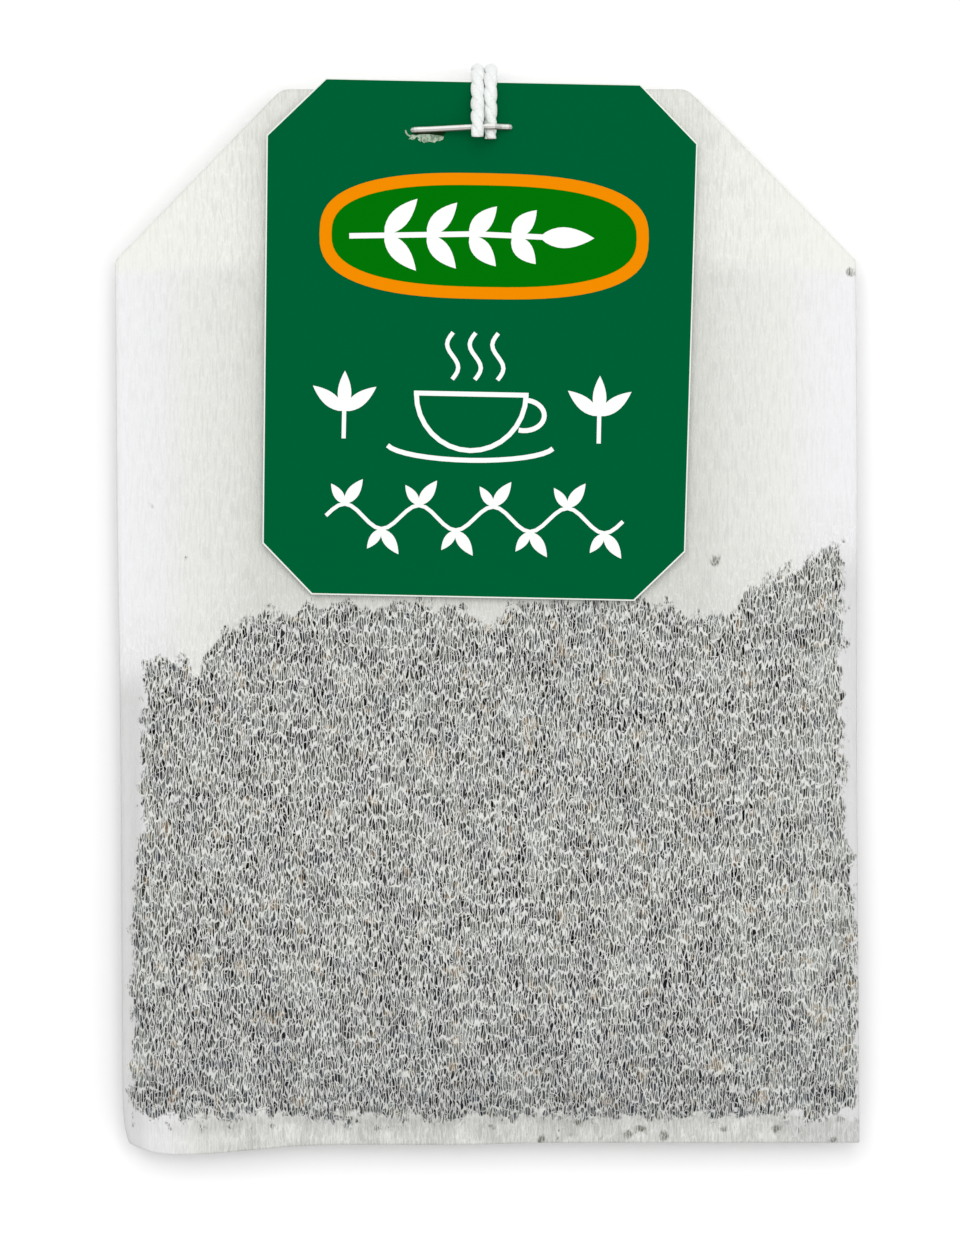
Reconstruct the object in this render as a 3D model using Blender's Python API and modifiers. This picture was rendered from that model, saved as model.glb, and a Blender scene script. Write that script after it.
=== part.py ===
"""A double-chamber tea bag with its thread and paper tag, lying on its back.

One paper tube is folded into two chambers with a W at the bottom. Its shoulders are folded in and
its head is folded over to the back, where a staple holds it shut and holds the thread. A second
staple holds the thread to the tag, which lies on the front. Metres, +Z up, the head towards +Y.
"""

import math

import bmesh
import bpy
from mathutils import Vector

mm = 0.001

# The folded paper bag
BAG_WIDTH = 46.0 * mm
BAG_LENGTH = 65.6 * mm
SHOULDER_WIDTH = 10.2 * mm
SHOULDER_DROP = 10.85 * mm
FLAP_LENGTH = 10.0 * mm
GUSSET_DEPTH = 8.0 * mm
PAPER = 0.05 * mm
TUBE_OPENING = 0.03 * mm
LAYER_GAP = 0.04 * mm

# The two pockets of tea
POCKET_MARGIN_SIDE = 0.7 * mm
POCKET_MARGIN_BOTTOM = 1.5 * mm
EMPTY_HEAD = 29.5 * mm
FRONT_BULGE = 2.9 * mm
BACK_BULGE = 3.1 * mm
REST_DEPTH = 2.2 * mm
TEA_CLEARANCE = 0.15 * mm
TEA_EDGE = 0.45 * mm
EMPTY_STRIP = 5.0 * mm

# The card tag
TAG_WIDTH = 26.7 * mm
TAG_TAPER = 0.5 * mm
TAG_HEIGHT = 32.0 * mm
TAG_CARD = 0.25 * mm
TAG_TOP_CHAMFER = 3.6 * mm
TAG_FOOT_CHAMFER = 3.1 * mm
TAG_TURN = math.radians(-1.15)
TAG_OVERHANG = 0.55 * mm
TAG_CENTRE_X = -0.65 * mm

# The staples and the thread
WIRE_DIAMETER = 0.36 * mm
SEAT_GAP = 0.05 * mm
LEG_CLEARANCE = 0.1 * mm
WIRE_BEND = 0.3 * mm
CLINCH_LENGTH = 2.2 * mm
TAG_STAPLE_LENGTH = 6.0 * mm
TAG_STAPLE_X = -1.68 * mm
TAG_STAPLE_BELOW_TOP = 2.6 * mm
TAG_STAPLE_TURN = math.radians(1.8)
BAG_STAPLE_LENGTH = 5.6 * mm
BAG_STAPLE_X = -1.2 * mm
BAG_STAPLE_BELOW_TOP = 7.0 * mm
THREAD_DIAMETER = 0.66 * mm
HANK_RADIUS = 4.1 * mm
HANK_RUN = 11.6 * mm
HANK_CENTRE_Y = 10.2 * mm

# Levels and edges that follow from the sizes
BAG_TOP = (BAG_LENGTH + TAG_OVERHANG) / 2 - TAG_OVERHANG
BAG_BOTTOM = BAG_TOP - BAG_LENGTH
TUBE_THICKNESS = 2 * PAPER + TUBE_OPENING
TUBE_PITCH = TUBE_THICKNESS + LAYER_GAP
WALL_LEVEL = (TUBE_OPENING + PAPER) / 2
HEAD_HALF = TUBE_PITCH / 2 + TUBE_THICKNESS / 2
SHOULDER_BEND = HEAD_HALF + LAYER_GAP
CORNER_DEPTH = 2 * SHOULDER_BEND + HEAD_HALF
HEAD_BEND = CORNER_DEPTH + LAYER_GAP
MIDDLE = 1.5 * TUBE_PITCH + TUBE_THICKNESS / 2 + REST_DEPTH
HEAD_FRONT = MIDDLE + HEAD_HALF
HEAD_BACK = MIDDLE - 2 * HEAD_BEND - HEAD_HALF
TAG_BACK = HEAD_FRONT + WIRE_DIAMETER + 2 * SEAT_GAP
TAG_FRONT = TAG_BACK + TAG_CARD
POCKET_HALF_WIDTH = BAG_WIDTH / 2 - POCKET_MARGIN_SIDE
POCKET_FOOT = BAG_BOTTOM + POCKET_MARGIN_BOTTOM
POCKET_HEIGHT = BAG_LENGTH - EMPTY_HEAD - POCKET_MARGIN_BOTTOM
BOTTOM_CREASE = BAG_BOTTOM + TUBE_PITCH / 2 + TUBE_THICKNESS / 2
GUSSET_CREASE = BOTTOM_CREASE + GUSSET_DEPTH
HEAD_CREASE = BAG_TOP - HEAD_BEND - HEAD_HALF
TUBE_END = BAG_TOP - FLAP_LENGTH + 2 * (HEAD_CREASE - BAG_TOP + FLAP_LENGTH) + math.pi * HEAD_BEND
FOLD_STEPS = 6
BOTTOM_STEPS = 4

# Columns across the tube as shares of its half width, and rows up a pocket as shares of its height
COLUMNS = (0.0, 0.24, 0.45, 0.63, 0.79, 0.91, 0.97)
POCKET_ROWS = (0.0, 0.025, 0.07, 0.14, 0.24, 0.36, 0.48, 0.6, 0.73, 0.86, 1.0)

# The thread's own route, point by point: the stretch from the tag, and the stretch to the tail
TAG_END_ROUTE = [
    (0.12, 29.27, 3.77), (0.12, 30.9, 3.77), (0.12, 32.2, 3.76), (0.13, 33.1, 3.5),
    (0.14, 33.58, 2.98), (0.15, 33.7, 2.32), (0.17, 33.57, 1.67), (0.22, 33.05, 1.13),
    (0.36, 32.2, 0.89), (0.95, 30.0, 0.86), (1.95, 27.2, 0.82), (3.0, 24.3, 0.62),
    (3.75, 21.3, 0.41), (4.0, 18.95, 0.35),
]
BAG_END_ROUTE = [
    (-1.8, 20.65, 1.0), (-1.2, 22.6, 0.87), (-0.8, 24.4, 0.87), (-0.68, 26.2, 0.87),
    (-0.68, 29.0, 0.87), (-0.68, 32.2, 0.89), (-0.68, 33.05, 1.13), (-0.68, 33.57, 1.67),
    (-0.68, 33.7, 2.32), (-0.68, 33.58, 2.98), (-0.68, 33.1, 3.5), (-0.68, 32.2, 3.8),
    (-0.68, 31.3, 4.1), (-0.68, 30.55, 4.68), (-0.68, 29.85, 4.9), (-0.68, 29.3, 4.84),
]


def clear_scene():
    for old in list(bpy.data.objects):
        bpy.data.objects.remove(old, do_unlink=True)


def collection(name):
    made = bpy.data.collections.new(name)
    bpy.context.scene.collection.children.link(made)
    return made


def material(name, colour, roughness, metallic=0.0):
    made = bpy.data.materials.new(name)
    made.use_nodes = True
    shader = made.node_tree.nodes["Principled BSDF"]
    shader.inputs["Base Color"].default_value = (*colour, 1.0)
    shader.inputs["Roughness"].default_value = roughness
    shader.inputs["Metallic"].default_value = metallic
    return made


def mesh_object(name, bm, parts, finish=None):
    mesh = bpy.data.meshes.new(name)
    bm.to_mesh(mesh)
    bm.free()
    made = bpy.data.objects.new(name, mesh)
    parts.objects.link(made)
    if finish:
        mesh.materials.append(finish)
    return made


def evaluated_mesh(source):
    """The object's mesh with its modifiers, as a new mesh."""
    bpy.context.view_layer.update()
    seen = source.evaluated_get(bpy.context.evaluated_depsgraph_get())
    return bpy.data.meshes.new_from_object(seen)


def bake(made):
    """Put the object's evaluated mesh in its place, and drop its modifiers."""
    made.data, old = evaluated_mesh(made), made.data
    made.modifiers.clear()
    bpy.data.meshes.remove(old)


def cut(made, cutter):
    boolean = made.modifiers.new(cutter.name, "BOOLEAN")
    boolean.operation = "DIFFERENCE"
    boolean.solver = "EXACT"
    boolean.object = cutter


def round_cutter(name, cutters, radius, centre, height):
    """An upright round cutter for one leg of a staple."""
    bm = bmesh.new()
    bmesh.ops.create_cone(
        bm, cap_ends=True, segments=16, radius1=radius, radius2=radius, depth=height
    )
    made = mesh_object(name, bm, cutters)
    made.location = centre
    made.hide_render = True
    made.display_type = "WIRE"
    return made


def ease(share):
    """A smooth step from 0 to 1."""
    share = max(0.0, min(1.0, share))
    return share * share * (3 - 2 * share)


def pocket(x, y):
    """How full a pocket is at a place, from 0 at its rim to 1 where the tea lies deepest."""
    across = min(1.0, abs(x) / POCKET_HALF_WIDTH)
    up = min(1.0, max(0.0, (y - POCKET_FOOT) / POCKET_HEIGHT))
    crown = (1 - across**3) ** 0.7
    foot = (1 - (1 - min(1.0, up / 0.22)) ** 2) ** 0.6
    slope = (0.5 + 0.5 * math.cos(math.pi * max(0.0, up - 0.35) / 0.65)) ** 0.8
    return crown * foot * slope


def front_fill(x, y):
    return FRONT_BULGE * pocket(x, y)


def back_fill(x, y):
    """The back pocket is pressed flat where the bag rests on it."""
    return min(REST_DEPTH, BACK_BULGE * pocket(x, y))


def drawn_in(y):
    """How far a chamber has come in towards the other by a place above the gusset."""
    return TUBE_PITCH * ease((y - GUSSET_CREASE) / (POCKET_FOOT + POCKET_HEIGHT - GUSSET_CREASE))


def fold_over(point, crease, direction, level, radius):
    """Roll a point of a level layer down and back over a crease, at a bend radius."""
    beyond = (point - crease).dot(direction)
    if beyond <= 0:
        return point
    height = point.z - level
    angle = min(beyond / radius, math.pi)
    past = max(beyond - math.pi * radius, 0.0)
    along = (radius + height) * math.sin(angle) - past
    moved = point + direction * (along - beyond)
    moved.z = level - radius + (radius + height) * math.cos(angle)
    return moved


def arc_rows(start, radius):
    """Distances along the tube at which a half turn has its rows."""
    return [start + math.pi * radius * step / BOTTOM_STEPS for step in range(BOTTOM_STEPS + 1)]


def flat_tube(rows):
    """The tube pressed flat: an open strip of paper around a thin oval, row by row along -Y."""
    half = BAG_WIDTH / 2 - PAPER / 2
    across = [half * share for share in COLUMNS] + [half - WALL_LEVEL]
    top = [-x for x in reversed(across[1:])] + across
    section = [Vector((x, 0, WALL_LEVEL)) for x in top]
    section += [Vector((half, 0, 0))]
    section += [Vector((x, 0, -WALL_LEVEL)) for x in reversed(top)]
    section += [Vector((-half, 0, 0))]
    bm = bmesh.new()
    ring = [bm.verts.new(point + Vector((0, -rows[0], 0))) for point in section]
    edges = [bm.edges.new((a, b)) for a, b in zip(ring, ring[1:] + ring[:1])]
    for before, after in zip(rows, rows[1:]):
        grown = bmesh.ops.extrude_edge_only(bm, edges=edges)["geom"]
        edges = [item for item in grown if isinstance(item, bmesh.types.BMEdge)]
        moved = [item for item in grown if isinstance(item, bmesh.types.BMVert)]
        bmesh.ops.translate(bm, verts=moved, vec=(0, before - after, 0))
        edges = [edge for edge in edges if all(vert in moved for vert in edge.verts)]
    bmesh.ops.recalc_face_normals(bm, faces=bm.faces)
    bmesh.ops.triangulate(bm, faces=bm.faces)
    return bm


def merge_flat_head(bm):
    """Join the level faces of the four empty layers at the head, before they are creased.

    The paper's thin end faces stay as they are, because they run round the tube's open end.
    """
    edge_of_pockets = POCKET_FOOT + POCKET_HEIGHT + EMPTY_STRIP + PAPER
    verts = [vert for vert in bm.verts if vert.co.y > edge_of_pockets]
    edges = []
    for edge in bm.edges:
        low = min(vert.co.y for vert in edge.verts)
        if edge_of_pockets - mm < low < TUBE_END - mm:
            edges.append(edge)
    bmesh.ops.dissolve_limit(bm, angle_limit=math.radians(0.05), verts=verts, edges=edges)


def crease_layers(bm, crease, direction, level, radius):
    """Fold everything beyond a crease under, with rows of edges along the bend."""
    for step in range(FOLD_STEPS + 1):
        place = crease + direction * (math.pi * radius * step / FOLD_STEPS)
        bmesh.ops.bisect_plane(
            bm,
            geom=bm.verts[:] + bm.edges[:] + bm.faces[:],
            dist=1e-8,
            plane_co=place,
            plane_no=direction,
        )
    for vert in bm.verts:
        vert.co = fold_over(vert.co, crease, direction, level, radius)


def filter_bag(parts, cutters, finish):
    """The whole paper bag: tube, W fold, shoulders, head flap and the staple's two holes."""
    bend = TUBE_PITCH / 2
    run = TUBE_END - BOTTOM_CREASE
    first = run
    second = first + math.pi * bend + GUSSET_DEPTH
    third = second + math.pi * bend + GUSSET_DEPTH
    length = third + math.pi * bend + run

    pocket_rows = [TUBE_END - POCKET_FOOT - share * POCKET_HEIGHT for share in reversed(POCKET_ROWS)]
    front = [0.0, pocket_rows[0] - EMPTY_STRIP] + pocket_rows
    back = [length - distance for distance in reversed(front)]
    rows = front + arc_rows(first, bend) + arc_rows(second, bend) + arc_rows(third, bend) + back

    bag = mesh_object("filter_bag", flat_tube(rows), parts, finish)
    shell = bag.modifiers.new("paper", "SOLIDIFY")
    shell.thickness = PAPER
    shell.offset = 0
    shell.use_even_offset = True
    bake(bag)

    bm = bmesh.new()
    bm.from_mesh(bag.data)
    down = Vector((0, -1, 0))
    up = Vector((0, 1, 0))
    bottom = Vector((0, BOTTOM_CREASE, 0))
    gusset = Vector((0, GUSSET_CREASE, 0))
    for vert in bm.verts:
        distance = -vert.co.y
        height = vert.co.z
        outer = height > PAPER / 10
        on_back = distance > length / 2
        place = TUBE_END - (length - distance if on_back else distance)
        if outer and not first < distance < length - run:
            height += (back_fill if on_back else front_fill)(vert.co.x, place)
        point = Vector((vert.co.x, TUBE_END - distance, MIDDLE + 1.5 * TUBE_PITCH + height))
        point = fold_over(point, bottom, down, MIDDLE + 1.5 * TUBE_PITCH, bend)
        if distance > second:
            point = fold_over(point, gusset, up, MIDDLE + 0.5 * TUBE_PITCH, bend)
        if distance > third:
            point = fold_over(point, bottom, down, MIDDLE - 0.5 * TUBE_PITCH, bend)
        if distance < first or distance > length - run:
            point.z += drawn_in(place) * (1 if on_back else -1)
        vert.co = point

    merge_flat_head(bm)
    slant = Vector((SHOULDER_DROP, SHOULDER_WIDTH, 0)).normalized()
    for side in (1, -1):
        direction = Vector((side * slant.x, slant.y, 0))
        shoulder = Vector((side * BAG_WIDTH / 2, BAG_TOP - SHOULDER_DROP, 0))
        crease = shoulder - direction * (SHOULDER_BEND + HEAD_HALF)
        crease_layers(bm, crease, direction, MIDDLE, SHOULDER_BEND)
    crease_layers(bm, Vector((0, HEAD_CREASE, 0)), up, MIDDLE, HEAD_BEND)
    bmesh.ops.triangulate(bm, faces=bm.faces)
    bm.to_mesh(bag.data)
    bm.free()

    for side in (-1, 1):
        place = (
            BAG_STAPLE_X + side * BAG_STAPLE_LENGTH / 2,
            BAG_TOP - BAG_STAPLE_BELOW_TOP,
            (HEAD_FRONT + HEAD_BACK) / 2,
        )
        radius = WIRE_DIAMETER / 2 + LEG_CLEARANCE
        name = f"bag_staple_hole_{'left' if side < 0 else 'right'}"
        cut(bag, round_cutter(name, cutters, radius, place, HEAD_FRONT - HEAD_BACK + mm))
    return bag


def pocket_edge(fill, centre, heading):
    """How far from a pocket's middle, along a heading, the pocket is still as deep as TEA_EDGE."""
    near, far = 0.0, BAG_WIDTH
    for _ in range(40):
        middle = (near + far) / 2
        place = centre + heading * middle
        if fill(place.x, place.y) > TEA_EDGE:
            near = middle
        else:
            far = middle
    return near


def tea(name, parts, finish, fill, side):
    """One portion of leaf tea, shaped by the pocket that holds it."""
    bm = bmesh.new()
    bmesh.ops.create_uvsphere(bm, u_segments=30, v_segments=14, radius=1.0)
    centre = Vector((0, POCKET_FOOT + 0.4 * POCKET_HEIGHT, 0))
    for vert in bm.verts:
        flat = Vector((vert.co.x, vert.co.y, 0))
        share = min(1.0, flat.length)
        heading = flat.normalized() if share > 0 else Vector((1, 0, 0))
        place = centre + heading * (pocket_edge(fill, centre, heading) * share**0.8)
        floor = PAPER / 2 - WALL_LEVEL + TEA_CLEARANCE
        roof = WALL_LEVEL - PAPER / 2 + fill(place.x, place.y) - TEA_CLEARANCE
        rise = 0.5 + 0.5 * math.copysign(math.sqrt(abs(vert.co.z)) if share < 0.999 else 0, vert.co.z)
        level = 1.5 * TUBE_PITCH - drawn_in(place.y) + floor + (roof - floor) * rise
        vert.co = Vector((place.x, place.y, MIDDLE + side * level))
    if side < 0:
        bmesh.ops.reverse_faces(bm, faces=bm.faces)
    made = mesh_object(name, bm, parts, finish)
    made.data.shade_smooth()
    return made


def flat_outline(name, points, thickness, parts):
    """A flat piece as a filled outline, given a thickness, as a mesh with its faces welded."""
    curve = bpy.data.curves.new(name + "_outline", "CURVE")
    curve.dimensions = "2D"
    curve.fill_mode = "BOTH"
    curve.extrude = thickness / 2
    spline = curve.splines.new("POLY")
    spline.points.add(len(points) - 1)
    for dot, (x, y) in zip(spline.points, points):
        dot.co = (x, y, 0, 1)
    spline.use_cyclic_u = True
    drawn = bpy.data.objects.new(name + "_outline", curve)
    parts.objects.link(drawn)
    mesh = evaluated_mesh(drawn)
    bpy.data.objects.remove(drawn)
    bm = bmesh.new()
    bm.from_mesh(mesh)
    bmesh.ops.remove_doubles(bm, verts=bm.verts, dist=1e-7)
    bmesh.ops.recalc_face_normals(bm, faces=bm.faces)
    bpy.data.meshes.remove(mesh)
    return mesh_object(name, bm, parts)


def tag_corners():
    """The tag's eight corners about its own centre, a little narrower at the foot."""
    head, foot = TAG_WIDTH / 2, TAG_WIDTH / 2 - TAG_TAPER / 2
    high, low = TAG_HEIGHT / 2, -TAG_HEIGHT / 2
    right = [
        (foot - TAG_FOOT_CHAMFER, low),
        (foot, low + TAG_FOOT_CHAMFER),
        (head, high - TAG_TOP_CHAMFER),
        (head - TAG_TOP_CHAMFER, high),
    ]
    return right + [(-x, y) for x, y in reversed(right)]


def tag(parts, cutters, finish):
    """The card tag on the front of the bag, turned a little, with two holes for its staple."""
    corners = tag_corners()
    reach = max(x * math.sin(TAG_TURN) + y * math.cos(TAG_TURN) for x, y in corners)
    made = flat_outline("tag", corners, TAG_CARD, parts)
    made.data.materials.append(finish)
    made.location = (
        TAG_CENTRE_X,
        BAG_TOP + TAG_OVERHANG - reach,
        (TAG_BACK + TAG_FRONT) / 2,
    )
    made.rotation_euler.z = TAG_TURN
    for side in (-1, 1):
        offset = side * TAG_STAPLE_LENGTH / 2
        place = (
            TAG_STAPLE_X + offset * math.cos(TAG_STAPLE_TURN),
            BAG_TOP - TAG_STAPLE_BELOW_TOP + offset * math.sin(TAG_STAPLE_TURN),
            (TAG_BACK + TAG_FRONT) / 2,
        )
        radius = WIRE_DIAMETER / 2 + LEG_CLEARANCE
        name = f"tag_staple_hole_{'left' if side < 0 else 'right'}"
        cut(made, round_cutter(name, cutters, radius, place, TAG_CARD + mm))
    return made


def tube_curve(name, points, diameter, parts, finish):
    """A wire or thread along a run of points, with closed ends."""
    curve = bpy.data.curves.new(name, "CURVE")
    curve.dimensions = "3D"
    curve.bevel_depth = diameter / 2
    curve.bevel_resolution = 2
    curve.use_fill_caps = True
    spline = curve.splines.new("POLY")
    spline.points.add(len(points) - 1)
    for dot, point in zip(spline.points, points):
        dot.co = (*point, 1)
    curve.materials.append(finish)
    made = bpy.data.objects.new(name, curve)
    parts.objects.link(made)
    return made


def staple(name, length, through, thread_at, parts, finish):
    """A wire staple in its own frame: crown above z = 0, legs down through, ends bent inwards.

    The crown rises where the thread runs under it, at thread_at from the staple's middle.
    """
    low = SEAT_GAP + WIRE_DIAMETER / 2
    rise = THREAD_DIAMETER + SEAT_GAP
    under = -through - SEAT_GAP - WIRE_DIAMETER / 2
    half = length / 2

    def bent(x, z, start, finish_angle):
        """A quarter turn of the wire about a point."""
        turns = [start + (finish_angle - start) * step / 3 for step in range(4)]
        return [(x + WIRE_BEND * math.cos(a), 0, z + WIRE_BEND * math.sin(a)) for a in turns]

    quarter = math.pi / 2
    left = [(-half + WIRE_BEND + CLINCH_LENGTH, 0, under)]
    left += bent(-half + WIRE_BEND, under + WIRE_BEND, -quarter, -2 * quarter)
    left += bent(-half + WIRE_BEND, low - WIRE_BEND + SEAT_GAP, 2 * quarter, quarter)
    right = [(-x, y, z) for x, y, z in reversed(left)]
    crown = []
    first, last = -half + 2 * WIRE_BEND, half - 2 * WIRE_BEND
    for step in range(13):
        x = first + (last - first) * step / 12
        span = (thread_at + half if x < thread_at else half - thread_at) - WIRE_BEND
        away = min(1.0, abs(x - thread_at) / span)
        crown.append((x, 0, low + SEAT_GAP + rise * (0.5 + 0.5 * math.cos(math.pi * away))))
    return tube_curve(name, left + crown + right, WIRE_DIAMETER, parts, finish)


def smooth_route(points, per_step):
    """Points on one smooth curve through the route's own points."""
    route = [Vector(point) * mm for point in points]
    padded = [2 * route[0] - route[1]] + route + [2 * route[-1] - route[-2]]
    smooth = []
    for before, start, end, after in zip(padded, padded[1:], padded[2:], padded[3:]):
        for step in range(per_step):
            t = step / per_step
            smooth.append(
                0.5
                * (
                    2 * start
                    + (end - before) * t
                    + (2 * before - 5 * start + 4 * end - after) * t * t
                    + (3 * start - before - 3 * end + after) * t * t * t
                )
            )
    return smooth + [route[-1]]


def hank(parts, finish):
    """The thread's spare length, folded flat behind the bag: the outer shape of its turns."""
    radius = HANK_RADIUS + THREAD_DIAMETER / 2
    steps = 12
    outline = []
    for end in (1, -1):
        for step in range(steps + 1):
            angle = math.pi * step / steps + (0 if end > 0 else math.pi)
            y = HANK_CENTRE_Y + end * HANK_RUN / 2 + radius * math.sin(angle)
            outline.append((radius * math.cos(angle), y))
    made = flat_outline("thread_hank", outline, THREAD_DIAMETER, parts)
    made.data.materials.append(finish)
    made.location.z = THREAD_DIAMETER / 2
    return made


def main():
    clear_scene()
    parts = collection("tea_bag")
    cutters = collection("tea_bag_cutters")

    paper = material("filter_paper", (0.84, 0.84, 0.82), 0.9)
    leaf = material("leaf_tea", (0.09, 0.055, 0.03), 0.95)
    card = material("tag_card", (0.0, 0.112, 0.034), 0.45)
    wire = material("staple_wire", (0.78, 0.77, 0.74), 0.3, 1.0)
    cotton = material("cotton_thread", (0.8, 0.82, 0.8), 0.9)

    filter_bag(parts, cutters, paper)
    tea("front_tea", parts, leaf, front_fill, 1)
    tea("back_tea", parts, leaf, back_fill, -1)
    tag(parts, cutters, card)

    right_strand = TAG_END_ROUTE[0][0] * mm
    held = (right_strand - TAG_STAPLE_X) / math.cos(TAG_STAPLE_TURN)
    tag_staple = staple("tag_staple", TAG_STAPLE_LENGTH, TAG_CARD, held, parts, wire)
    tag_staple.location = (TAG_STAPLE_X, BAG_TOP - TAG_STAPLE_BELOW_TOP, TAG_FRONT)
    tag_staple.rotation_euler.z = TAG_STAPLE_TURN

    left_strand = BAG_END_ROUTE[3][0] * mm
    through = HEAD_FRONT - HEAD_BACK
    bag_staple = staple(
        "bag_staple", BAG_STAPLE_LENGTH, through, BAG_STAPLE_X - left_strand, parts, wire
    )
    bag_staple.location = (BAG_STAPLE_X, BAG_TOP - BAG_STAPLE_BELOW_TOP, HEAD_BACK)
    bag_staple.rotation_euler.y = math.pi

    tube_curve("thread_tag_end", smooth_route(TAG_END_ROUTE, 3), THREAD_DIAMETER, parts, cotton)
    tube_curve("thread_bag_end", smooth_route(BAG_END_ROUTE, 3), THREAD_DIAMETER, parts, cotton)
    hank(parts, cotton)


main()
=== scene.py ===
"""The tea bag's looks: filter paper over leaf tea, a printed card tag, twisted thread and bright wire.

Metres, +Z up. The bag lies on its back with its head towards +Y, and the camera looks straight down.
"""

import math
import random

import bmesh
import bpy
from mathutils import Matrix, Vector, noise


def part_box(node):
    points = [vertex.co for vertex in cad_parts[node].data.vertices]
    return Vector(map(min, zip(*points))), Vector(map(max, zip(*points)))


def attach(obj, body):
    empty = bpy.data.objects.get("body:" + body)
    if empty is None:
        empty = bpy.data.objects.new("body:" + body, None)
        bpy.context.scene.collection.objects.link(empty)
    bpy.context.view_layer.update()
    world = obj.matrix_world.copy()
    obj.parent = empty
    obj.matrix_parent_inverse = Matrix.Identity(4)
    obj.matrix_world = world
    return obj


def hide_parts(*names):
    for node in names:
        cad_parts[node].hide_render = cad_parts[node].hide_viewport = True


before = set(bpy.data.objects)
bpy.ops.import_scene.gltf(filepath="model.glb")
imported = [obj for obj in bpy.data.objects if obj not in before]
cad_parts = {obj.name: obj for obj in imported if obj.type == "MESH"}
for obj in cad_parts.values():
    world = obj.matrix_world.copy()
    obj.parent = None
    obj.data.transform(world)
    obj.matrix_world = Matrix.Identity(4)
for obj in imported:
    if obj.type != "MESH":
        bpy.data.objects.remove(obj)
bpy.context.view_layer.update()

mm = 0.001

# The bag's own sizes: its box from the frame, and its folds as the part has them
BAG_LOW, BAG_HIGH = (Vector(corner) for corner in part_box("filter_bag"))
BAG_WIDTH = 46.0 * mm
BAG_TOP = BAG_HIGH.y
BAG_BOTTOM = BAG_LOW.y
FLAP_LENGTH = 10.0 * mm
GUSSET_DEPTH = 8.0 * mm
PAPER = 0.05 * mm
TUBE_OPENING = 0.03 * mm
LAYER_GAP = 0.04 * mm
POCKET_MARGIN_SIDE = 0.7 * mm
POCKET_MARGIN_BOTTOM = 1.5 * mm
EMPTY_HEAD = 29.5 * mm
FRONT_BULGE = 2.9 * mm
BACK_BULGE = 3.1 * mm
REST_DEPTH = 2.2 * mm
TUBE_THICKNESS = 2 * PAPER + TUBE_OPENING
TUBE_PITCH = TUBE_THICKNESS + LAYER_GAP
WALL_LEVEL = (TUBE_OPENING + PAPER) / 2
HEAD_HALF = TUBE_PITCH / 2 + TUBE_THICKNESS / 2
SHOULDER_BEND = HEAD_HALF + LAYER_GAP
HEAD_BEND = 2 * SHOULDER_BEND + HEAD_HALF + LAYER_GAP
MIDDLE = 1.5 * TUBE_PITCH + TUBE_THICKNESS / 2 + REST_DEPTH
POCKET_HALF_WIDTH = BAG_WIDTH / 2 - POCKET_MARGIN_SIDE
POCKET_FOOT = BAG_BOTTOM + POCKET_MARGIN_BOTTOM
POCKET_HEIGHT = BAG_TOP - BAG_BOTTOM - EMPTY_HEAD - POCKET_MARGIN_BOTTOM
BOTTOM_CREASE = BAG_BOTTOM + TUBE_PITCH / 2 + TUBE_THICKNESS / 2
GUSSET_CREASE = BOTTOM_CREASE + GUSSET_DEPTH
HEAD_CREASE = BAG_TOP - HEAD_BEND - HEAD_HALF
TUBE_END = BAG_TOP - FLAP_LENGTH + 2 * (HEAD_CREASE - BAG_TOP + FLAP_LENGTH) + math.pi * HEAD_BEND

# How the shoulders slope in the photo, which is a little less than in the part
SHOULDER_WIDTH = 10.4 * mm
SHOULDER_DROP = 10.65 * mm

# Along the flat tube, from its front end: the length of each run, two of its folds, and its end
BEND = TUBE_PITCH / 2
RUN = TUBE_END - BOTTOM_CREASE
SECOND_FOLD = RUN + math.pi * BEND + GUSSET_DEPTH
THIRD_FOLD = SECOND_FOLD + math.pi * BEND + GUSSET_DEPTH
TUBE_LENGTH = THIRD_FOLD + math.pi * BEND + RUN

# The bag's small irregularities, judged from the photo: its width, its lean, how its foot sags
# and lifts, its worn corner, and how deep its dents are
FOOT_WIDTH_SHARE = 0.993
UPPER_WIDENING = 0.006
HEAD_WIDENING = 0.014
LEAN_AT_FOOT = 0.17 * mm
LEAN = 0.42 * mm
SAG = 0.63 * mm
SAG_FROM_MIDDLE = 19.5 * mm
SAG_REACH = 10 * mm
FOOT_LIFT = 0.13 * mm
WORN_REACH = 3.3 * mm
WORN_IN = 0.37 * mm
WORN_UP = 0.6 * mm
DENT = 0.11 * mm

# Where the paper's finish changes, in millimetres across or up from the frame's origin
TEA_LEFT = 21.5
TEA_RIGHT = 22.0
FLANK_LEFT = 21.0
FLANK_RIGHT = 21.4
SHOULDERS_FROM = 21.6

# The sizes of the tag and its print, as plain millimetres
TAG_WIDTH = 26.7
TAG_TAPER = 0.5
TAG_HEIGHT = 32.0
TAG_TOP_CHAMFER = 3.6
TAG_FOOT_CHAMFER = 3.1
PRINT_MARGIN = 0.08
INK = 0.012

# Where the tag lies, in metres, and how far it is turned
TAG_MIDDLE = Vector((-0.65 * mm, 16.882 * mm))
TAG_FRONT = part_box("tag")[1].z
TAG_TURN = math.radians(-1.15)

# How bright a white, level surface comes out in this light
LIGHT = 1.11

# The picture's own measure: where a pixel of the photograph lies on the bag
PIXEL = BAG_WIDTH / 741
PHOTO_SIZE = (960, 1242)
PHOTO_BAG_TOP = 88
PHOTO_MIDDLE_X = 488.5

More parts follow.
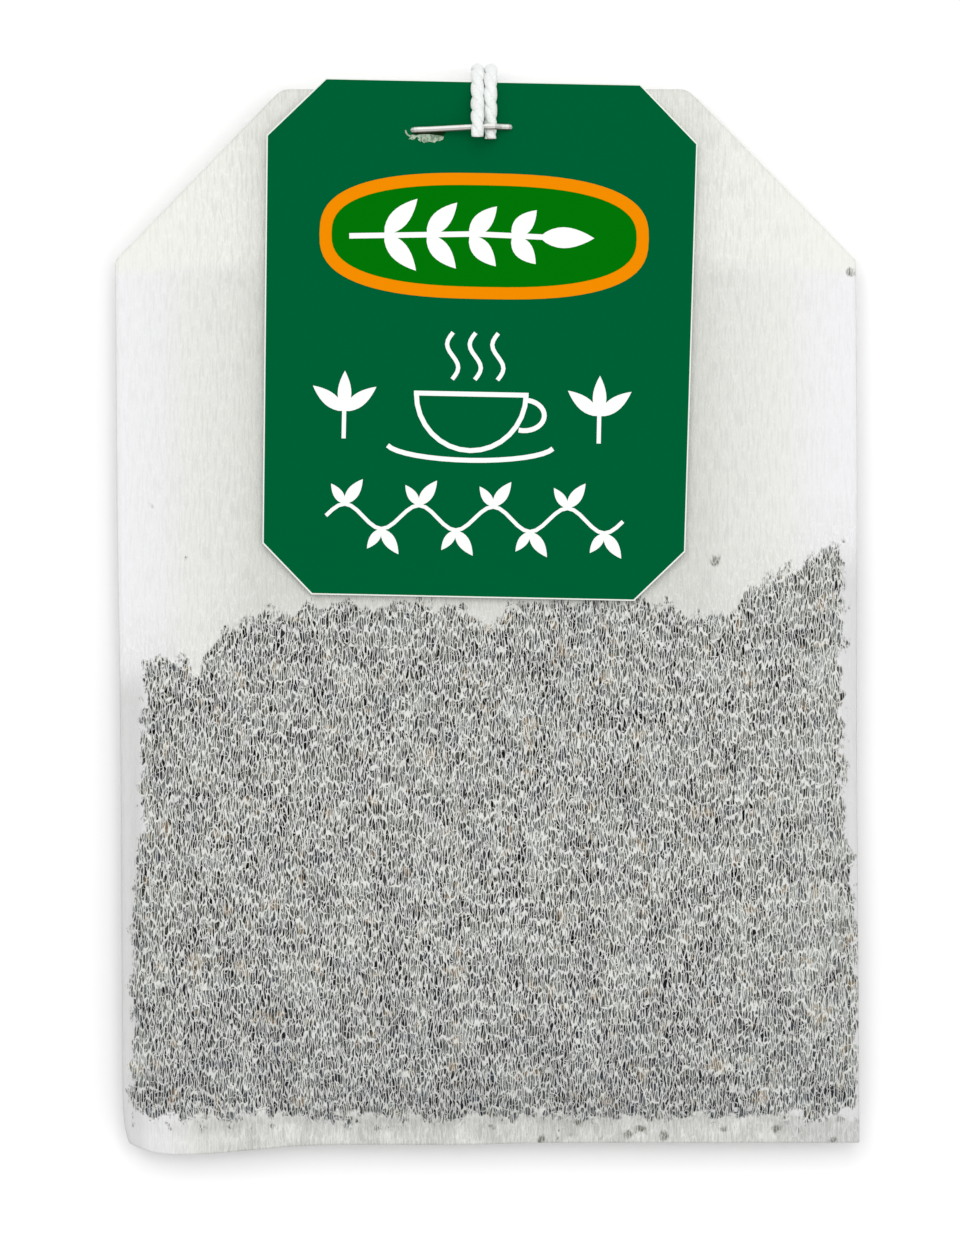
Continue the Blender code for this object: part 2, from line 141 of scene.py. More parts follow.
# Pixels of the photograph: the line that the tea reaches, a lighter place in the leaf, stray bits
# of leaf and dark specks with their radius, the painted shadow under the staple's left end, and the
# torn card's patch, curl and shreds
TEA_LINE = [
    (117, 664), (134, 660), (182, 661), (196, 676), (222, 629), (273, 612), (330, 602),
    (462, 604), (470, 622), (500, 622), (508, 604), (600, 596), (667, 606), (702, 617),
    (735, 612), (750, 584), (789, 572), (809, 560), (837, 543), (856, 546),
]
SHINE = (800, 920)
SPECKS = [
    (715, 562, 7), (491, 1125, 3), (526, 1134, 3), (541, 1140, 4), (558, 1138, 3), (571, 1134, 3),
    (577, 1122, 5), (600, 1139, 2), (628, 1133, 4), (637, 1129, 4), (645, 1129, 4), (665, 1136, 5),
    (724, 1129, 4), (776, 1128, 6), (834, 1140, 3), (851, 1141, 2), (850, 272, 4), (152, 506, 2),
    (186, 557, 2),
]
WIRE_SHADOW = [
    (411, 133.6), (417, 132.6), (430, 132.2), (444, 132.4), (446, 134), (443, 136.4),
    (436, 136.2), (427, 135.6), (419, 135.8), (413, 134.8),
]
TORN_PATCH = [
    (412, 135.6), (416, 136.4), (421, 135.4), (427, 135.2), (434, 135.9), (440, 136.7),
    (444, 138), (443, 140.6), (440, 142), (436.5, 142.2), (435, 143.8), (431, 143), (427, 142.6),
    (423, 141.7), (419.6, 140.8), (418.4, 138.4), (416.2, 138.2), (414.6, 140.4),
    (412, 140.9), (409.4, 139.4), (411, 137.6),
]
TORN_CURL = [(405.7, 131.2), (406.2, 133.6), (407.6, 135.8), (410, 137.2), (412.6, 137.6)]
SHREDS = 30
SHREDS_ACROSS = (413, 442)
SHREDS_DOWN = (136.5, 142)

# The thread: its two plies, its hank, and its routes outside the hank in millimetres
THREAD_DIAMETER = 0.66 * mm
PLY_RADIUS = 0.25 * mm
PLY_OFFSET = 0.105 * mm
PLY_PITCH = 2.0 * mm
SPREAD = 1.2
HANK_RADIUS = 4.1 * mm
HANK_RUN = 11.6 * mm
HANK_CENTRE_Y = 10.2 * mm
HANK_HALF_TURNS = 5
RUN_POINTS = 5
TURN_STEPS = 12
TURN_PITCH = 0.69 * mm
ROUTE_SPACING = 0.13 * mm
TAG_END_ROUTE = [
    (0.12, 29.27, 3.77), (0.12, 30.9, 3.77), (0.12, 32.2, 3.76), (0.13, 33.1, 3.5),
    (0.14, 33.58, 2.98), (0.15, 33.7, 2.32), (0.17, 33.57, 1.67), (0.22, 33.05, 1.13),
    (0.36, 32.2, 0.89), (0.95, 30.0, 0.86), (1.95, 27.2, 0.82), (3.0, 24.3, 0.62),
    (3.75, 21.3, 0.41), (4.0, 18.95, 0.35),
]
CROSSING_ROUTE = [
    (-2.37, 11.5, 0.34), (-2.37, 13.4, 0.5), (-2.34, 15.2, 0.8), (-2.25, 17.0, 1.0),
    (-2.05, 18.9, 1.03),
]
BAG_END_ROUTE = [
    (-1.8, 20.65, 1.0), (-1.2, 22.6, 0.87), (-0.8, 24.4, 0.87), (-0.68, 26.2, 0.87),
    (-0.68, 29.0, 0.87), (-0.68, 32.2, 0.89), (-0.68, 33.05, 1.13), (-0.68, 33.57, 1.67),
    (-0.68, 33.7, 2.32), (-0.68, 33.58, 2.98), (-0.68, 33.1, 3.5), (-0.68, 32.2, 3.8),
    (-0.68, 31.3, 4.1), (-0.68, 30.55, 4.68), (-0.68, 29.85, 4.9), (-0.68, 29.3, 4.84),
]


def at_pixel(x, y):
    """Where a pixel of the photograph lies on the bag, in metres."""
    return (x - PHOTO_MIDDLE_X) * PIXEL, BAG_TOP - (y - PHOTO_BAG_TOP) * PIXEL


class Value:
    """A number that varies over a surface, so that shader maths reads as plain expressions."""

    def __init__(self, paint, socket):
        self.paint = paint
        self.socket = socket

    def math(self, operation, *others):
        """A Math node on these numbers or links."""
        return self.paint.node("ShaderNodeMath", {"operation": operation}, *others)

    def __add__(self, other):
        return self.math("ADD", self, other)

    __radd__ = __add__

    def __sub__(self, other):
        return self.math("SUBTRACT", self, other)

    def __rsub__(self, other):
        return self.math("SUBTRACT", other, self)

    def __mul__(self, other):
        return self.math("MULTIPLY", self, other)

    __rmul__ = __mul__

    def __truediv__(self, other):
        return self.math("DIVIDE", self, other)

    def __pow__(self, other):
        return self.math("POWER", self, other)

    def __neg__(self):
        return self.math("MULTIPLY", self, -1)

    def absolute(self):
        return self.math("ABSOLUTE", self)

    def lower_of(self, other):
        return self.math("MINIMUM", self, other)

    def higher_of(self, other):
        return self.math("MAXIMUM", self, other)

    def rising(self, low, high):
        """0 below low, 1 above high, and smooth between."""
        return self.paint.node(
            "ShaderNodeMapRange",
            {"interpolation_type": "SMOOTHSTEP"},
            self, low, high, 0.0, 1.0,
        )


class Paint:
    """A material's node tree, with the few kinds of node that the finishes below are made of."""

    def __init__(self, name):
        self.material = bpy.data.materials.new(name)
        self.material.use_nodes = True
        self.tree = self.material.node_tree
        self.shader = self.tree.nodes["Principled BSDF"]

    def put(self, socket, value):
        """Give a socket a link, a colour or a plain number."""
        if isinstance(value, Value):
            self.tree.links.new(value.socket, socket)
        elif isinstance(value, tuple) and socket.type == "RGBA":
            socket.default_value = (*value, 1.0)[:4]
        else:
            socket.default_value = value

    def node(self, kind, settings=None, *inputs, output=0, **named):
        """Any node: its settings first, then its sockets' values or links."""
        made = self.tree.nodes.new(kind)
        for name, setting in (settings or {}).items():
            setattr(made, name, setting)
        for socket, value in zip(made.inputs, inputs):
            self.put(socket, value)
        for name, value in named.items():
            self.put(made.inputs[name], value)
        return Value(self, made.outputs[output])

    def point(self):
        """The point on the surface, in millimetres."""
        place = self.node("ShaderNodeTexCoord", output=3)
        return self.node("ShaderNodeVectorMath", {"operation": "SCALE"}, place, Scale=1 / mm)

    def parts(self, vector):
        """A vector's three numbers."""
        made = self.tree.nodes.new("ShaderNodeSeparateXYZ")
        self.put(made.inputs[0], vector)
        return [Value(self, socket) for socket in made.outputs]

    def vector(self, x, y, z):
        """Three numbers as a vector."""
        return self.node("ShaderNodeCombineXYZ", None, x, y, z)

    def clouds(self, where, scale, detail=2.0, roughness=0.5, flat=False):
        """Soft noise, from 0 to 1 around a half."""
        return self.node(
            "ShaderNodeTexNoise", {"noise_dimensions": "2D" if flat else "3D"},
            Vector=where, Scale=scale, Detail=detail, Roughness=roughness,
        )

    def cells(self, where, scale, feature="F1", output=0, flat=False):
        """A pattern of cells: its distances, or with output=1 a colour by chance for each."""
        return self.node(
            "ShaderNodeTexVoronoi",
            {"feature": feature, "voronoi_dimensions": "2D" if flat else "3D"},
            Vector=where, Scale=scale, output=output,
        )

    def chance(self, where, scale):
        """A number by chance for each cell of a flat pattern."""
        return self.node(
            "ShaderNodeSeparateColor", None, self.cells(where, scale, output=1, flat=True)
        )

    def blend(self, share, first, second):
        """From the first colour to the second as share goes from 0 to 1."""
        made = self.tree.nodes.new("ShaderNodeMix")
        made.data_type = "RGBA"
        self.put(made.inputs[0], share)
        self.put(made.inputs[6], first)
        self.put(made.inputs[7], second)
        return Value(self, made.outputs[2])

    def bump(self, height, strength, distance):
        """A relief for the surface's normal."""
        return self.node("ShaderNodeBump", None, Height=height, Strength=strength, Distance=distance)

    def finish(self, **sockets):
        """Set the surface's own sockets, and give back the material."""
        for name, value in sockets.items():
            self.put(self.shader.inputs[name.replace("_", " ")], value)
        return self.material


def screen(red, green, blue):
    """The shader's colour for a surface that comes out as this one, 0 to 255, in this light."""
    return tuple(
        (part / 12.92 if part <= 0.04045 else ((part + 0.055) / 1.055) ** 2.4) / LIGHT
        for part in (red / 255, green / 255, blue / 255)
    )


def distance_from(x, y, pixel):
    """How far the surface lies from a place in the photograph, in millimetres."""
    across, up = at_pixel(*pixel)
    return ((x - across / mm) ** 2.0 + (y - up / mm) ** 2.0) ** 0.5


def tea_line(paint, x):
    """The height up the bag, in millimetres, that the tea reaches at each place across it."""
    points = [at_pixel(*pixel) for pixel in TEA_LINE]
    low = min(y for _, y in points)
    high = max(y for _, y in points)
    half = BAG_WIDTH / 2
    made = paint.tree.nodes.new("ShaderNodeFloatCurve")
    curve = made.mapping.curves[0]
    shares = [((px + half) / (2 * half), (py - low) / (high - low)) for px, py in points]
    curve.points[0].location = (0.0, shares[0][1])
    curve.points[1].location = (1.0, shares[-1][1])
    for share in shares[1:-1]:
        curve.points.new(*share)
    for point in curve.points:
        point.handle_type = "VECTOR"
    made.mapping.update()
    paint.put(made.inputs["Value"], (x + half / mm) / (2 * half / mm))
    return Value(paint, made.outputs[0]) * ((high - low) / mm) + low / mm


def fibre_net(paint, x, y, fine, tall, seed):
    """A net of thin upright fibres: how far the nearest is, and a number by chance for each gap."""
    sway = paint.clouds(paint.vector(x + seed, y * 0.5, 0), 1.1, detail=2.0, flat=True) - 0.5
    lift = paint.clouds(paint.vector(x, y + seed, 0), 1.6, detail=2.0, flat=True) - 0.5
    net = paint.vector((x + sway * 0.4) * fine + seed, (y + lift * 0.8) * tall, 0)
    edge = paint.cells(net, 1.0, feature="DISTANCE_TO_EDGE", flat=True)
    return edge, paint.chance(net, 1.0)


def upright_fibres(paint, x, y):
    """The paper's fibres, from 0 in the gaps between them to 1 on them, and each gap's chance."""
    edge, gap = fibre_net(paint, x, y, 6.0, 0.95, 0.0)
    fine_edge = fibre_net(paint, x, y, 5.0, 2.2, 17.0)[0]
    broken = paint.clouds(paint.vector(x * 3.0 + 9, y * 2.4, 0), 1.0, detail=1.0, flat=True)
    long_ones = (1 - edge.rising(0.02, 0.24)) * (0.4 + broken)
    short_ones = (1 - fine_edge.rising(0.0, 0.2)) * (1.2 - broken)
    sway = paint.clouds(paint.vector(x + 3, y * 0.6, 0), 1.0, detail=2.0, flat=True) - 0.5
    wavy = paint.vector((x + sway * 0.9) * 8.5 + 3, y * 2.0, 0)
    fluff = paint.clouds(wavy, 1.0, detail=1.0, roughness=0.55, flat=True) - 0.5
    return (long_ones.higher_of(short_ones) + fluff * 0.7).rising(0.2, 0.94), gap


def tea_cover(x, y, line, pieces, ragged):
    """Where the tea shows, from 0 to 1, and how far in from its left side each place is.

    It reaches up to its own line, and stays a little clear of the sides and the foot.
    """
    lower = (-10.0 - y).rising(0.0, 10.0)
    from_left = x + TEA_LEFT + lower * 0.6
    from_right = TEA_RIGHT + lower * 0.9 - x
    from_foot = y - (POCKET_FOOT / mm + 0.2)
    inside = line.lower_of(from_left * 1.6).lower_of(from_right * 1.6).lower_of(from_foot * 0.9)
    covered = (inside + ragged * 2.6 + (pieces - 0.5) * 0.6).rising(-0.2, 0.35)
    return covered, from_left


def leaf_behind(paint, x, y, fibres, gap, pieces, grain, patches, line, from_left):
    """Dark leaf behind the fibres: lighter to the right and along the left side, bluer at the foot."""
    lighter = (x - 14.0).rising(0.0, 7.0) * 0.15 + (1 - from_left.rising(0.0, 2.4)) * 0.1
    lighter = lighter + (1 - distance_from(x, y, SHINE).rising(1.5, 5.5)) * 0.07
    low = (-18.0 - y).rising(0.0, 12.0)
    depth = (gap - 0.5) * 0.5 + (pieces - 0.5) * 0.35 + (grain - 0.5) * 0.5
    crowded = (1 - line.rising(1.0, 6.0)) * 0.05
    level = 0.19 + depth + (patches - 0.5) * 1.15 + lighter - low * 0.07 - crowded
    dark_to_mid = paint.blend(level.rising(-0.05, 0.42), screen(16, 16, 14), screen(94, 97, 91))
    grey = paint.blend(level.rising(0.38, 0.9), dark_to_mid, screen(172, 175, 170))

    tints = paint.clouds(paint.vector(x + 40, y, 0), 0.62, detail=2.0, roughness=0.6, flat=True)
    bluish_share = (tints - 0.54).rising(0.0, 0.14) * 0.25 + low * 0.12
    bluish = paint.blend(bluish_share, grey, screen(96, 104, 118))
    tinted = paint.blend((0.37 - tints).rising(0.0, 0.1) * 0.38, bluish, screen(182, 158, 124))
    thick = 0.94 + (patches - 0.5) * 0.5 - low * 0.07
    return paint.blend((fibres * thick).lower_of(0.97), tinted, screen(229, 230, 226))


def bare_paper(paint, x, y, z, fibres, patches, line):
    """Paper with no tea behind it, whitest along the bag's sides.

    It is creamier in the middle and at the head, where the folded shoulders lie behind it, and
    darker beside the tag, from painted shadow of the tag. Its fibres show most beside the tag and
    the tea. The hem below the tea and the two strips beside it are shaded.
    """
    tag_x, tag_y = (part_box("tag")[0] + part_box("tag")[1]).xy / 2 / mm
    tag_side = (x - tag_x).absolute() - TAG_WIDTH / 2
    beside = tag_side.higher_of((y - tag_y).absolute() - (TAG_HEIGHT / 2 - 0.1))
    front = (z - (MIDDLE - HEAD_BEND) / mm).rising(-0.3, 0.0)
    head = (y - SHOULDERS_FROM + (x.absolute() - 12.0) * 0.05).rising(-0.7, 0.7)
    cream = head.higher_of((19.5 - x.absolute()).rising(-1.5, 2.0) * 0.75)
    plain = paint.blend(cream, screen(241, 241, 243), screen(242, 243, 236))
    # Painted shade: the tag's shadow on the paper, soft and broad around it and darker at its edges
    near = front * (1 - beside.rising(-1.0, 10.0))
    soft_tag_shade = paint.blend(near * (1 - head * 0.85), plain, screen(226, 227, 222))
    tag_edge_shade = paint.blend(front * (1 - beside.rising(0.2, 2.4)) * 0.22, soft_tag_shade, screen(194, 194, 188))
    strong = 0.02 + near * 0.16 + (1 - line.absolute().rising(0.0, 4.0)) * 0.16
    fibrous = paint.blend((1 - fibres) * strong, tag_edge_shade, screen(186, 187, 181))
    streaks = paint.clouds(paint.vector(x * 6.5, y * 0.7, 0), 1.0, detail=3.0, flat=True)
    streaked = paint.blend(
        (0.54 - streaks).rising(0.0, 0.2) * (0.09 + near * 0.2), fibrous, screen(190, 191, 186)
    )

    hem = (POCKET_FOOT / mm + 0.4 - y).rising(-0.6, 0.5)
    uneven = 0.66 + (patches - 0.5) * 1.1 + (0.5 - fibres) * 0.3 + (0.5 - streaks) * 0.9
    hem = hem * uneven * (0.3 + (x + 17.5).rising(-3.0, 3.0) * 0.7)
    below = line.rising(-0.5, 2.5)
    left_flank = (-FLANK_LEFT - x).rising(-0.6, 0.9) * below * 0.52
    right_flank = (x - FLANK_RIGHT).rising(-0.6, 0.9) * below * 0.42
    shaded = hem.higher_of(left_flank.higher_of(right_flank))
    return paint.blend(shaded, streaked, screen(188, 188, 185))


def with_specks(paint, x, y, colour, fibres, ragged):
    """The colour with stray bits of leaf and dark specks on it."""
    for px, py, size in SPECKS:
        away = distance_from(x, y, (px, py))
        spot = (size * PIXEL / mm - away + ragged * 0.9).rising(-0.05, 0.22)
        colour = paint.blend(spot * (0.85 - fibres * 0.5), colour, screen(96, 94, 84))
    return colour


def filter_paper():
    """White, long-fibred filter paper, with the dark leaf showing between its fibres."""
    paint = Paint("filter_paper")
    where = paint.point()
    x, y, z = paint.parts(where)
    fibres, gap = upright_fibres(paint, x, y)
    pieces = paint.chance(where, 1.5)
    grain = paint.clouds(where, 8.0, detail=2.0, roughness=0.6, flat=True)
    patches = paint.clouds(where, 0.42, detail=3.0, roughness=0.62, flat=True)
    ragged = paint.clouds(paint.vector(x, y * 0.8, 0), 1.1, detail=3.0, roughness=0.65, flat=True)
    ragged = ragged - 0.5
    line = tea_line(paint, x) - y

    covered, from_left = tea_cover(x, y, line, pieces, ragged)
    leaf = leaf_behind(paint, x, y, fibres, gap, pieces, grain, patches, line, from_left)
    bare = bare_paper(paint, x, y, z, fibres, patches, line)
    colour = with_specks(paint, x, y, paint.blend(covered, bare, leaf), fibres, ragged)
    return paint.finish(
        Base_Color=colour,
        Roughness=0.86 - (fibres - 0.5) * 0.1,
        Normal=paint.bump(fibres * 0.8 + grain * 0.2, 0.4, 0.00003),
        Specular_IOR_Level=0.0,
    )


def leaf_tea():
    """Dry, dark, broken leaf."""
    paint = Paint("leaf_tea")
    where = paint.point()
    pieces = paint.cells(where, 1.6, output=1)
    tone = paint.node("ShaderNodeSeparateColor", None, pieces)
    grain = paint.clouds(where, 5.0, detail=4.0)
    brown = paint.blend(tone, screen(58, 50, 38), screen(112, 98, 66))
    colour = paint.blend(grain * 0.6, brown, screen(36, 38, 30))
    height = tone * 0.7 + grain * 0.3
    return paint.finish(
        Base_Color=colour, Roughness=0.85 + grain * 0.1, Normal=paint.bump(height, 0.8, 0.0003)
    )


def tag_card():
    """White, uncoated card."""
    paint = Paint("tag_card")
    where = paint.point()
    grain = paint.clouds(where, 9.0, detail=3.0, roughness=0.6)
    return paint.finish(
        Base_Color=paint.blend(grain * 0.5, screen(242, 247, 240), screen(226, 232, 224)),
        Roughness=0.7 + (grain - 0.5) * 0.25,
        Specular_IOR_Level=0.0,
        Normal=paint.bump(grain, 0.25, 0.00002),
    )


def ink(name, colour, faded):
    """Printing ink: a flat colour with a little paper grain in it."""
    paint = Paint(name)
    where = paint.point()
    grain = paint.clouds(where, 8.0, detail=3.0, roughness=0.6)
    tone = paint.blend((grain - 0.5).rising(0.0, 0.35) * 0.4, screen(*colour), screen(*faded))
    return paint.finish(
        Base_Color=tone,
        Roughness=0.6 + (grain - 0.5) * 0.3,
        Specular_IOR_Level=0.0,
        Normal=paint.bump(grain, 0.2, 0.00001),
    )


def staple_wire():
    """Bright drawn wire with fine lines along it, a dull bloom, and painted shade towards the foot."""
    paint = Paint("staple_wire")
    where = paint.point()
    x, y, z = paint.parts(where)
    drawn = paint.clouds(paint.vector(x * 0.6, y * 14.0, z * 14.0), 2.0, detail=3.0)
    bloom = paint.clouds(where, 1.4, detail=3.0)
    bright_wire = paint.blend(bloom.rising(0.45, 0.8) * 0.5, (0.97, 0.96, 0.94), (0.8, 0.77, 0.72))
    # Painted shade: the side facing the bag's foot is darkened, standing for the dark card it reflects
    foot_side_shade = -paint.parts(paint.node("ShaderNodeNewGeometry", output=1))[1]
    colour = paint.blend(foot_side_shade.rising(0.15, 0.65) * 0.9, bright_wire, (0.13, 0.1, 0.08))
    return paint.finish(
        Base_Color=colour,
        Metallic=0.45,
        Roughness=0.24 + drawn * 0.18,
        Normal=paint.bump(drawn, 0.3, 0.00001),
    )


def cotton_thread():
    """White cotton yarn: fine fibres along each ply."""
    paint = Paint("cotton_thread")
    where = paint.point()
    x, y, z = paint.parts(where)
    fine = paint.clouds(paint.vector(x * 1.6, y * 0.8, z * 1.6), 9.0, detail=3.0, roughness=0.65)
    soft = paint.clouds(where, 1.2, detail=2.0)
    colour = paint.blend(
        (0.52 - fine).rising(0.0, 0.25) * 0.6, screen(247, 250, 248), screen(208, 214, 210)
    )
    tone = paint.blend(soft.rising(0.45, 0.8) * 0.3, colour, screen(238, 241, 238))
    return paint.finish(
        Base_Color=tone,
        Roughness=0.85 + (fine - 0.5) * 0.2,
        Normal=paint.bump(fine, 0.6, 0.00006),
        Sheen_Weight=0.25,
    )


def pale_floor():
    """A plain pale table."""
    paint = Paint("pale_floor")
    where = paint.point()
    cloud = paint.clouds(where, 0.05, detail=2.0)
    colour = paint.blend(cloud, (0.955, 0.955, 0.955), (0.97, 0.97, 0.97))
    return paint.finish(Base_Color=colour, Roughness=0.9, Specular_IOR_Level=0.0)


def new_piece(name, bm, finish, smooth=True):
    """A mesh as one more piece of the object, with its finish."""
    mesh = bpy.data.meshes.new(name)
    bm.to_mesh(mesh)
    bm.free()
    mesh.materials.append(finish)
    if smooth:
        mesh.shade_smooth()
    made = bpy.data.objects.new(name, mesh)
    bpy.context.scene.collection.objects.link(made)
    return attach(made, "root")


def camera():
    """Straight above the bag, so far up that the photograph's frame fits its sensor."""
    data = bpy.data.cameras.new("camera")
    data.lens = 150
    data.sensor_width = 36
    made = bpy.data.objects.new("camera", data)
    bpy.context.scene.collection.objects.link(made)
    x, y = at_pixel(PHOTO_SIZE[0] / 2, PHOTO_SIZE[1] / 2)
    level = MIDDLE + HEAD_HALF
    made.location = (x, y, level + PHOTO_SIZE[1] * PIXEL * data.lens / data.sensor_width)
    bpy.context.scene.camera = made


def lights():
    """A white room with two large soft lamps."""
    world = bpy.data.worlds.new("soft_room")
    world.use_nodes = True
    world.node_tree.nodes["Background"].inputs[0].default_value = (1.0, 1.0, 1.0, 1.0)
    world.node_tree.nodes["Background"].inputs[1].default_value = 0.63
    bpy.context.scene.world = world
    for name, place, size, power in (
        ("key", (-0.04, 0.15, 0.45), 0.34, 1.02),
        ("fill", (0.2, -0.05, 0.5), 0.4, 0.54),
    ):
        data = bpy.data.lights.new(name, "AREA")
        data.size = size
        data.energy = power
        made = bpy.data.objects.new(name, data)
        made.location = place
        made.rotation_euler = (Vector(place)).to_track_quat("Z", "Y").to_euler()
        bpy.context.scene.collection.objects.link(made)
    view = bpy.context.scene.view_settings
    view.view_transform = "Standard"
    view.exposure = 0.0


def floor():
    """The table, which is no part of the bag."""
    bpy.ops.mesh.primitive_plane_add(size=3.0)
    made = bpy.context.object
    made.name = "floor"
    made.data.materials.append(pale_floor())


def smooth_route(points, per_step):
    """Points on one smooth curve through the route's own points."""
    route = [Vector(point) for point in points]
    padded = [2 * route[0] - route[1]] + route + [2 * route[-1] - route[-2]]
    smooth = []
    for before, start, end, after in zip(padded, padded[1:], padded[2:], padded[3:]):
        for step in range(per_step):
            t = step / per_step
            smooth.append(
                0.5
                * (
                    2 * start
                    + (end - before) * t
                    + (2 * before - 5 * start + 4 * end - after) * t * t
                    + (3 * start - before - 3 * end + after) * t * t * t
                )
            )
    return smooth + [route[-1]]


def hank_route():
    """The hank's turns: runs along Y joined by half turns, each a little further in."""
    route = []
    level = THREAD_DIAMETER / 2
    for half_turn in range(HANK_HALF_TURNS + 1):
        side = 1 if half_turn % 2 == 0 else -1
        radius = HANK_RADIUS - TURN_PITCH * half_turn / 2
        for step in range(1, RUN_POINTS + 1):
            y = HANK_CENTRE_Y + side * HANK_RUN * (0.5 - step / (RUN_POINTS + 1))
            route.append(Vector((side * radius, y, level)))
        if half_turn == HANK_HALF_TURNS:
            break
        for step in range(TURN_STEPS + 1):
            angle = math.pi * step / TURN_STEPS
            bend = radius - TURN_PITCH * step / (2 * TURN_STEPS)
            x = side * bend * math.cos(angle)
            y = HANK_CENTRE_Y - side * (HANK_RUN / 2 + bend * math.sin(angle))
            route.append(Vector((x, y, level)))
    return route


def even_points(points, spacing):
    """The same line with its points evenly spaced."""
    even = [points[0]]
    left = spacing
    for start, end in zip(points, points[1:]):
        length = (end - start).length
        while length >= left:
            start = start.lerp(end, left / length)
            even.append(start.copy())
            length -= left
            left = spacing
        left -= length
    if (even[-1] - points[-1]).length > spacing / 4:
        even.append(points[-1])
    return even


def in_metres(route):
    """A route of millimetres as points."""
    return [Vector(point) * mm for point in route]


def thread_route():
    """The whole thread: over the tag's top and down to the hank, round it, and back to the front."""
    hank = hank_route()
    last_run = [p for p in hank[-RUN_POINTS:] if p.y < CROSSING_ROUTE[0][1] * mm - mm]
    key_points = in_metres(TAG_END_ROUTE) + hank[:-RUN_POINTS] + last_run
    key_points += in_metres(CROSSING_ROUTE) + in_metres(BAG_END_ROUTE)
    return even_points(smooth_route(key_points, 10), ROUTE_SPACING)


def spread(point):
    """How much wider the thread is where it is pressed flat over the tag's top than elsewhere."""
    return 1 + (SPREAD - 1) * ease((point.y - 28 * mm) / (3 * mm)) * ease(point.z / mm - 2)


def twisted_plies(bm, route, radius, offset, pitch, plies, sides):
    """Plies wound around a line, each a closed tube."""
    tangents = [(b - a).normalized() for a, b in zip(route, route[1:])]
    tangents.append(tangents[-1].copy())
    across = tangents[0].orthogonal().normalized()
    frames = []
    for tangent in tangents:
        across = (across - tangent * across.dot(tangent)).normalized()
        frames.append((across.copy(), tangent.cross(across)))
    travelled = [0.0]
    for a, b in zip(route, route[1:]):
        travelled.append(travelled[-1] + (b - a).length)
    for ply in range(plies):
        rings = []
        for point, (side, up), along in zip(route, frames, travelled):
            turn = 2 * math.pi * (ply / plies - along / pitch)
            out = side * math.cos(turn) + up * math.sin(turn)
            wide = spread(point)
            centre = point + out * offset * wide
            round_way = side * -math.sin(turn) + up * math.cos(turn)
            ring = []
            for corner in range(sides):
                angle = 2 * math.pi * corner / sides
                shape = out * math.cos(angle) + round_way * math.sin(angle) * 1.15
                ring.append(bm.verts.new(centre + shape * radius * wide))
            rings.append(ring)
        for lower, upper in zip(rings, rings[1:]):
            for corner in range(sides):
                after = (corner + 1) % sides
                bm.faces.new((lower[corner], lower[after], upper[after], upper[corner]))
        bm.faces.new(list(reversed(rings[0])))
        bm.faces.new(rings[-1])


def thread():
    """The whole thread as one cord."""
    route = thread_route()
    bm = bmesh.new()
    twisted_plies(bm, route, PLY_RADIUS, PLY_OFFSET, PLY_PITCH, 2, 12)
    made = new_piece("thread", bm, cotton_thread())
    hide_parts("thread_tag_end", "thread_bag_end", "thread_hank")


def ease(share):
    """A share kept between 0 and 1, with soft ends."""
    share = max(0.0, min(1.0, share))
    return share * share * (3 - 2 * share)


def pocket(x, y):
    """How full a pocket is at a place, from 0 at its rim to 1 where the tea lies deepest."""
    across = min(1.0, abs(x) / POCKET_HALF_WIDTH)
    up = min(1.0, max(0.0, (y - POCKET_FOOT) / POCKET_HEIGHT))
    crown = (1 - across**3) ** 0.7
    foot = (1 - (1 - min(1.0, up / 0.22)) ** 2) ** 0.6
    slope = (0.5 + 0.5 * math.cos(math.pi * max(0.0, up - 0.35) / 0.65)) ** 0.8
    return crown * foot * slope


def drawn_in(y):
    """How far the two chambers come together from the gusset up to the pocket's top."""
    return TUBE_PITCH * ease((y - GUSSET_CREASE) / (POCKET_FOOT + POCKET_HEIGHT - GUSSET_CREASE))


def fold_over(point, crease, direction, level, radius):
    """Roll a point of a level layer down and back over a crease, at a bend radius."""
    beyond = (point - crease).dot(direction)
    if beyond <= 0:
        return point
    height = point.z - level
    angle = min(beyond / radius, math.pi)
    past = max(beyond - math.pi * radius, 0.0)
    along = (radius + height) * math.sin(angle) - past
    moved = point + direction * (along - beyond)
    moved.z = level - radius + (radius + height) * math.cos(angle)
    return moved


def steps(start, end, count):
    """Even steps from a start up to an end, without the end."""
    return [start + (end - start) * step / count for step in range(count)]


def flat_tube(rows, columns):
    """The tube pressed flat: an open strip of paper around a thin oval, row by row along -Y."""
    half = BAG_WIDTH / 2 - PAPER / 2
    top = [-x for x in reversed(columns[1:])] + columns
    section = [Vector((x, 0, WALL_LEVEL)) for x in top] + [Vector((half, 0, 0))]
    section += [Vector((x, 0, -WALL_LEVEL)) for x in reversed(top)] + [Vector((-half, 0, 0))]
    bm = bmesh.new()
    rings = [[bm.verts.new(point + Vector((0, -row, 0))) for point in section] for row in rows]
    for upper, lower in zip(rings, rings[1:]):
        for a, b, c, d in zip(upper, upper[1:] + upper[:1], lower[1:] + lower[:1], lower):
            bm.faces.new((a, d, c, b))
    return bm


def crease_layers(bm, crease, direction, level, radius):
    """Fold everything beyond a crease under, with rows of edges along the bend."""
    for step in range(9):
        place = crease + direction * (math.pi * radius * step / 8)
        bmesh.ops.bisect_plane(
            bm,
            geom=bm.verts[:] + bm.edges[:] + bm.faces[:],
            dist=1e-8,
            plane_co=place,
            plane_no=direction,
        )
    for vert in bm.verts:
        vert.co = fold_over(vert.co, crease, direction, level, radius)


